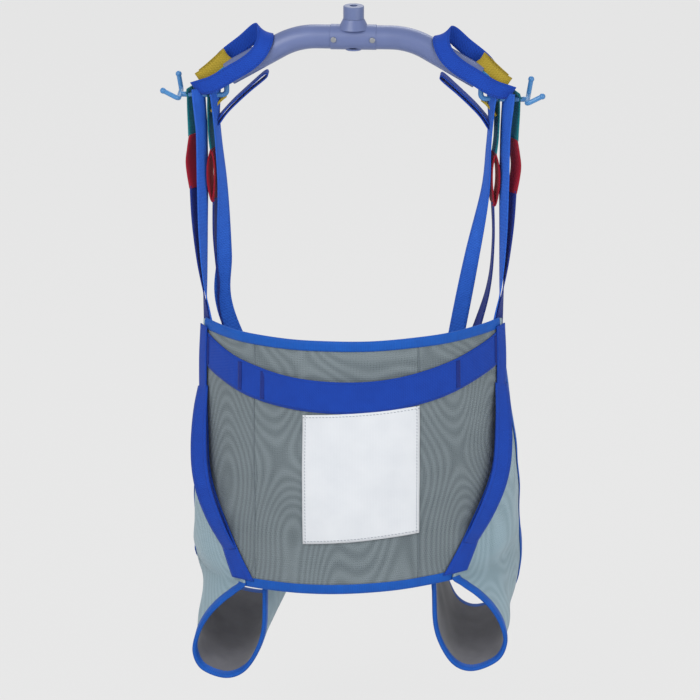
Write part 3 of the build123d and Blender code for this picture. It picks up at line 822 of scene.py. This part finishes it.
def hang(word, side, piece, node, route, look, body="sling", **sizes):
    # one strip of webbing on the right or left; the route is written for the right
    sided = [tuple((v[0] * side, v[1], v[2]) for v in pair) for pair in route]
    webStrip(f"{word}_{piece}", sided, look, body, replaced=[f"{word}_{node}"], **sizes)


def makeShoulder(word, side):
    main = [
        ((232, -7, -129), (0.75, -0.66, 0)), ((231, -8, -145), (0.72, -0.7, 0)),
        ((229, -8, -168), (0.66, -0.75, 0)),
        ((227, -7, -200), (0.6, -0.8, 0)), ((226, -10, -270), (0.58, -0.81, 0)),
        ((225, -16, -350), (0.45, -0.9, 0)),
        ((222, -22, -420), (0.15, -0.99, 0)), ((218, -25, -462), (-0.25, -0.97, 0)),
        ((214, -28, -494), (-0.49, -0.87, 0)),
    ]
    # the main shoulder strap takes the brighter webbing colours, which are painted light
    hang(word, side, "shoulder_strap", "shoulder_webbing", main, "painted_light_webbing")
    green = [
        ((240, -4, -125), (0.6, -0.8, 0)), ((241, 0.5, -131.5), (0.6, -0.8, 0)),
        ((242, 5.5, -138), (0.55, -0.83, 0)),
        ((242, 5, -158), (0.52, -0.85, 0)), ((241, 1, -182), (0.5, -0.86, 0)),
        ((240, -2, -203), (0.5, -0.86, 0)),
    ]
    hang(word, side, "shoulder_green", "shoulder_green_loop", green, "webbing_green")
    red = [
        ((238, -3, -200), (0.6, -0.8, 0)), ((241, 0, -222), (0.62, -0.78, 0)),
        ((243, 0, -242), (0.62, -0.78, 0)),
        ((241, -3, -262), (0.6, -0.8, 0)), ((237, -8, -282), (0.6, -0.8, 0)),
    ]
    hang(word, side, "shoulder_red", "shoulder_red_loop", red, "webbing_red")
    lower = [
        ((238, -6, -279), (0.5, -0.86, 0)), ((236, -12, -330), (0.4, -0.92, 0)),
        ((230, -18, -390), (0.25, -0.97, 0)),
        ((224, -22, -440), (-0.1, -0.99, 0)), ((218, -22, -490), (-0.49, -0.87, 0)),
    ]
    hang(word, side, "shoulder_lower", "shoulder_lower_web", lower, "webbing_navy")


legMid = {"right": (159, 28, -483), "left": (194, 26, -483)}


def makeLeg(word, side):
    x, y, z = legMid[word]
    tip = (111 - (37 if side < 0 else 4), 45, -786)
    main = [
        ((207, -5.6, -131), (0.6, -0.8, 0)), ((206, -5.6, -150), (0.45, -0.89, 0)),
        ((205, -5, -175), (0.3, -0.95, 0)),
        ((202, -2, -215), (0.3, -0.95, 0)), ((197, 4, -285), (0.5, -0.86, 0)),
        ((lerp(198, x, 0.55), 16, -390), (0.85, -0.5, 0)),
        ((x, y, z), (0.97, -0.24, 0)), ((lerp(x, tip[0], 0.55), 38, -640), (0.97, -0.2, 0)),
        (tip, (0.5, 0.86, 0)),
    ]
    # the main leg strap takes the brighter webbing colours, which are painted light
    hang(word, side, "leg_strap", "leg_webbing", main, "painted_light_webbing", steps=130)
    green = [
        ((209, -3.5, -127), (0.6, -0.8, 0)), ((211, 0.5, -132), (0.5, -0.86, 0)),
        ((213, 5.5, -138), (0.4, -0.91, 0)),
        ((214, 6, -165), (0.35, -0.94, 0)), ((213, 3, -200), (0.3, -0.95, 0)),
        ((210, 1, -225), (0.3, -0.95, 0)),
    ]
    hang(word, side, "leg_green", "leg_green_loop", green, "webbing_green")
    red = [
        ((210, 0, -222), (0.3, -0.95, 0)), ((215, 2, -245), (0.3, -0.95, 0)),
        ((215, 3, -275), (0.3, -0.95, 0)),
        ((209, 4, -302), (0.3, -0.95, 0)), ((205, 3, -275), (0.3, -0.95, 0)),
        ((205, 1, -245), (0.3, -0.95, 0)), ((209, -1, -224), (0.3, -0.95, 0)),
    ]
    hang(word, side, "leg_red", "leg_red_loop", red, "webbing_red")
    lower = [
        ((208, 4, -300), (0.2, -0.97, 0)), ((209, 12, -360), (0.15, -0.98, 0)),
        ((203, 22, -430), (0.2, -0.97, 0)),
        ((lerp(x, 196, 0.7), 34, -500), (0.4, -0.9, 0)),
        ((lerp(x, tip[0], 0.5), 46, -660), (0.9, -0.3, 0)), ((tip[0] + 1, 49, -784), (0.5, 0.86, 0)),
    ]
    hang(word, side, "leg_lower", "leg_lower_web", lower, "webbing_navy", steps=130)
    tail = [
        ((204, 6, -187), (0.1, 1, 0)), ((191, 10, -170), (0, 1, 0)), ((176, 12, -154), (0, 1, 0)),
        ((155, 12, -134), (0, 1, 0)),
        ((133, 12, -115), (0, 1, 0)), ((129, 12, -109), (0, 1, 0)), ((134, 12, -108), (0, 1, 0)),
        ((156, 12, -128), (0, 1, 0)),
        ((178, 12, -149), (0, 1, 0)), ((193, 10, -165), (0, 1, 0)), ((205, 6, -180), (0.1, 1, 0)),
    ]
    hang(word, side, "leg_tail", "leg_tail_loop", tail, "webbing_blue")
    yellow = [
        ((214, 7, -167), (0, 1, 0)), ((207, 9, -158), (0, 1, 0)), ((199, 11, -149), (0, 1, 0)),
        ((192, 12, -143), (0, 1, 0))
    ]
    hang(word, side, "leg_yellow", "leg_yellow_loop", yellow, "webbing_yellow", thick=3.4, steps=30)


upRight = (0.64, 0.1, 0.76)  # width of a tail that climbs the arm


def makeTail(word, side):
    # the unused end folds back over the arm: near strand in front of it, far strand behind
    tail = [
        ((238, -8, -128), (0.8, -0.2, 0.55)), ((222, -16, -124), upRight), ((205, -21, -116), upRight),
        ((180, -23, -100), upRight),
        ((158, -24, -86), (0.6, 0.15, 0.78)), ((141, -23, -70), (0.75, 0.2, 0.6)),
        ((132, -16, -52), (0.9, 0.25, 0.3)),
        ((133, 0, -42), (0.85, 0.3, 0.4)), ((144, 15, -44), (0.7, 0.1, 0.7)), ((165, 21, -64), upRight),
        ((192, 20, -86), upRight),
        ((208, 12, -104), upRight), ((226, 2, -119), upRight),
    ]
    hang(
        word, side, "shoulder_tail", "shoulder_tail_loop", tail, "webbing_blue", "spreader_bar", steps=150
    )
    yellow = [
        ((231, -8, -115), upRight), ((221, -10, -108), upRight), ((206, -7, -97), upRight),
        ((193, 0, -84), (0.6, 0.3, 0.7)),
        ((190, 6, -80), (0.6, 0.3, 0.7)), ((199, 7, -89), upRight), ((214, 2, -102), upRight),
        ((225, -4, -110), upRight),
    ]
    hang(
        word, side, "shoulder_yellow", "shoulder_yellow_loop", yellow, "webbing_yellow", "spreader_bar",
        width=22.0, thick=1.5, steps=60
    )


for word, side in bothSides:
    makeShoulder(word, side)
    makeLeg(word, side)
    makeTail(word, side)
print("lifting straps made")

# the CAD parts keep their shape

finishes = {row["node"]: row["material_slot"] for row in frame["record"]["subparts"]}
for name, node in frame["nodes"].items():
    node.data.materials.clear()
    node.data.materials.append(looks[finishes[name]])

# floor and lights

stageLook = {
    "paper": "#e8e8e8", "floorZ": -1.16, "floorHalf": 30.0, "glowShare": 0.93, "fillStrength": 0.55
}


def paper():
    # pale paper sweep: shows its own colour to the camera and keeps a soft shadow
    made, tree = newMaterial("pale_paper")
    rays = addNode(tree, "ShaderNodeLightPath")
    matt = addNode(tree, "ShaderNodeBsdfDiffuse", {}, {"Color": toLinear(stageLook["paper"])})
    glow = addNode(
        tree, "ShaderNodeEmission", {}, {"Color": toLinear(stageLook["paper"]), "Strength": 1.0}
    )
    direct = mathNode(tree, "MAXIMUM", rays.outputs["Is Camera Ray"], rays.outputs["Is Glossy Ray"])
    share = mathNode(tree, "MULTIPLY", direct, stageLook["glowShare"])
    both = addNode(tree, "ShaderNodeMixShader", {}, {0: share, 1: matt.outputs[0], 2: glow.outputs[0]})
    out = addNode(tree, "ShaderNodeOutputMaterial")
    tree.links.new(both.outputs[0], out.inputs["Surface"])
    return made


bm = bmesh.new()
bmesh.ops.create_grid(bm, x_segments=1, y_segments=1, size=stageLook["floorHalf"])
bmesh.ops.translate(bm, verts=bm.verts, vec=(0, 0, stageLook["floorZ"]))
mesh = bpy.data.meshes.new("paper_floor")
bm.to_mesh(mesh)
bm.free()
floor = bpy.data.objects.new("paper_floor", mesh)
mesh.materials.append(paper())
bpy.context.scene.collection.objects.link(floor)

world = bpy.data.worlds.new("studio")
world.use_nodes = True
tree = world.node_tree
tree.nodes.clear()
rays = addNode(tree, "ShaderNodeLightPath")
fill = addNode(
    tree, "ShaderNodeBackground", {},
    {"Color": toLinear("#ffffff"), "Strength": stageLook["fillStrength"]}
)
seen = addNode(tree, "ShaderNodeBackground", {}, {"Color": toLinear(stageLook["paper"]), "Strength": 1.0})
both = addNode(
    tree, "ShaderNodeMixShader", {},
    {0: rays.outputs["Is Camera Ray"], 1: fill.outputs[0], 2: seen.outputs[0]}
)
out = addNode(tree, "ShaderNodeOutputWorld")
tree.links.new(both.outputs[0], out.inputs["Surface"])
bpy.context.scene.world = world

aim = Vector((-3, -40, -522)) * mm
lamps = [  # name, place in metres, size, watts
    ("key", (-1.3, -2.2, 1.3), 1.8, 46),
    ("fill", (1.9, -1.9, 0.3), 1.8, 24),
    ("rim", (0.4, 2.2, 1.5), 1.6, 26),
]
for name, spot, size, watts in lamps:
    data = bpy.data.lights.new(name, "AREA")
    data.size = size
    data.energy = watts
    lamp = bpy.data.objects.new(name, data)
    lamp.location = spot
    lamp.rotation_euler = (aim - Vector(spot)).to_track_quat("-Z", "Y").to_euler()
    bpy.context.scene.collection.objects.link(lamp)

# camera

view = {"azimuth": 3.5, "elevation": 16.0, "distance": 14.0, "across": 1.05}
turn = math.radians(view["azimuth"])
rise = math.radians(view["elevation"])
toCamera = Vector((math.sin(turn) * math.cos(rise), -math.cos(turn) * math.cos(rise), math.sin(rise)))
data = bpy.data.cameras.new("camera")
sensorWidth = 36  # mm, the default
data.lens = sensorWidth / (view["across"] / view["distance"])
camera = bpy.data.objects.new("camera", data)
camera.location = aim + toCamera * view["distance"]
camera.rotation_euler = (-toCamera).to_track_quat("-Z", "Y").to_euler()
bpy.context.scene.collection.objects.link(camera)
bpy.context.scene.camera = camera
bpy.context.scene.view_settings.view_transform = "Standard"
print("stage and camera set")
